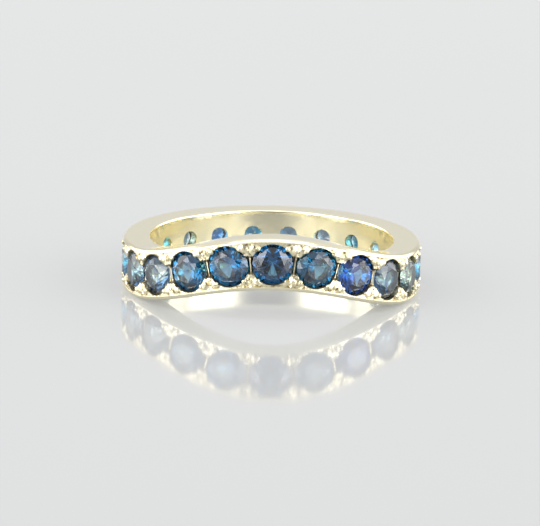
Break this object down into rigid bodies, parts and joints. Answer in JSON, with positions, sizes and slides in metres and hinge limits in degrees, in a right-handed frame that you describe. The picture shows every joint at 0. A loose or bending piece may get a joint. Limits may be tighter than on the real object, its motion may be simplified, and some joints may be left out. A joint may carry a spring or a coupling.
{
  "type": "eternity ring",
  "caption": "Curved full eternity ring: a pale yellow gold band with one row of round blue sapphires grain-set between two polished rails, arched at the front.",
  "frame": {"origin": "on the finger's axis, in the plane that the ring rests on", "axes": "+Z along the finger's axis, up from the resting plane; -Y towards the arched front; +X to the viewer's right as seen from the front"},
  "size_m": [0.0206, 0.0206, 0.0055],
  "materials": {
    "gold": "polished pale yellow gold",
    "sapphire": "polished facets, blue"
  },
  "bodies": {
    "root": {"band": "gold", "sapphire_01": "sapphire", "sapphire_02": "sapphire", "sapphire_03": "sapphire", "sapphire_04": "sapphire", "sapphire_05": "sapphire", "sapphire_06": "sapphire", "sapphire_07": "sapphire", "sapphire_08": "sapphire", "sapphire_09": "sapphire", "sapphire_10": "sapphire", "sapphire_11": "sapphire", "sapphire_12": "sapphire", "sapphire_13": "sapphire", "sapphire_14": "sapphire", "sapphire_15": "sapphire", "sapphire_16": "sapphire", "sapphire_17": "sapphire", "sapphire_18": "sapphire", "sapphire_19": "sapphire", "sapphire_20": "sapphire", "sapphire_21": "sapphire"}
  },
  "joints": []
}
